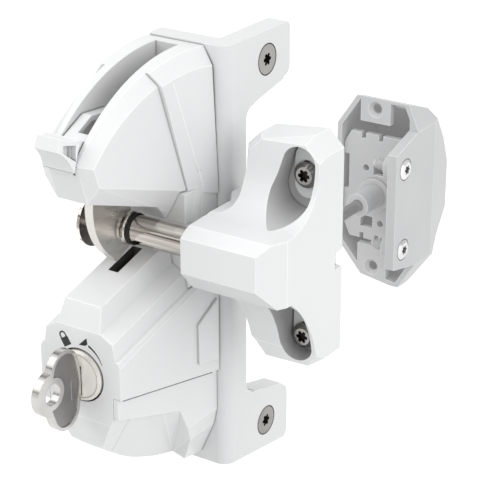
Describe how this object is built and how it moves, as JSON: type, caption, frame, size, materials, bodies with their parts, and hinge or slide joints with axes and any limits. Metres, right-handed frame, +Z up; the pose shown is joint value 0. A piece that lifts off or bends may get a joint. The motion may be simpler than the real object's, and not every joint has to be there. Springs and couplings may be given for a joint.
{
  "type": "key-locking gravity gate latch",
  "caption": "Gate latch with a hooked catch and thumb lever on a corner bracket, a key lock, a headed striker pin on a gate block, and a push-rod unit for the post's far side.",
  "frame": {"origin": "on the bracket's back face, which rests on the post's front, in the housing's middle plane and at half of the bracket's height", "axes": "+X along the striker pin from the housing towards the gate, +Y from the latch's front back through the post, +Z up"},
  "size_m": [0.0828, 0.2683, 0.1698],
  "materials": {
    "white_plastic": "satin moulded polymer",
    "satin_steel": "satin stainless steel",
    "lock_metal": "dull chrome plate",
    "black_plastic": "black polymer",
    "grey_unit": "light grey satin",
    "key_metal": "nickel plate"
  },
  "bodies": {
    "latch": {"bracket": "white_plastic", "housing": "white_plastic", "lower_cover": "white_plastic", "post_screws": "satin_steel", "housing_screws": "satin_steel", "pivot_pin": "satin_steel", "lock_barrel": "lock_metal", "barrel_clip": "black_plastic", "unit_case": "grey_unit", "unit_plate": "grey_unit", "rod_tube": "grey_unit", "unit_side_screws": "satin_steel", "button_spring": "satin_steel"},
    "thumb_lever": {"lever": "white_plastic", "catch_plate": "satin_steel", "catch_rivets": "satin_steel"},
    "plug": {"lock_plug": "lock_metal", "lock_cam": "satin_steel", "cam_screw": "satin_steel"},
    "key_body": {"key": "key_metal"},
    "bar": {"locking_bar": "satin_steel"},
    "striker": {"striker_block": "white_plastic", "striker_pin": "satin_steel", "pin_ring": "black_plastic", "striker_seats": "white_plastic", "gate_screws": "satin_steel"},
    "button": {"push_button": "grey_unit", "push_rod": "satin_steel"}
  },
  "joints": [
    {"name": "lever_lift", "type": "hinge", "parent": "latch", "child": "thumb_lever", "pos_m": [0, -0.022, 0.0415], "axis": [-1, 0, 0], "range_deg": [0, 35]},
    {"name": "lock_turn", "type": "hinge", "parent": "latch", "child": "plug", "pos_m": [0, -0.048, -0.0238], "axis": [0, -1, 0], "range_deg": [0, 90]},
    {"name": "key_out", "type": "slide", "parent": "plug", "child": "key_body", "axis": [0, -1, 0], "range_m": [0, 0.03]},
    {"name": "bar_rise", "type": "slide", "parent": "latch", "child": "bar", "axis": [0, 0, 1], "range_m": [0, 0.007]},
    {"name": "button_push", "type": "slide", "parent": "latch", "child": "button", "axis": [0, -1, 0], "range_m": [0, 0.005], "stiffness_N_per_m": 400, "springref_m": -0.004, "deforming": ["button_spring"]},
    {"name": "gate_play", "type": "slide", "parent": "latch", "child": "striker", "axis": [0, 1, 0], "range_m": [-0.0012, 0.0005]}
  ],
  "couplings": [
    {"joint": "lock_turn", "follows": "bar_rise", "rad_per_m": 224.39}
  ]
}
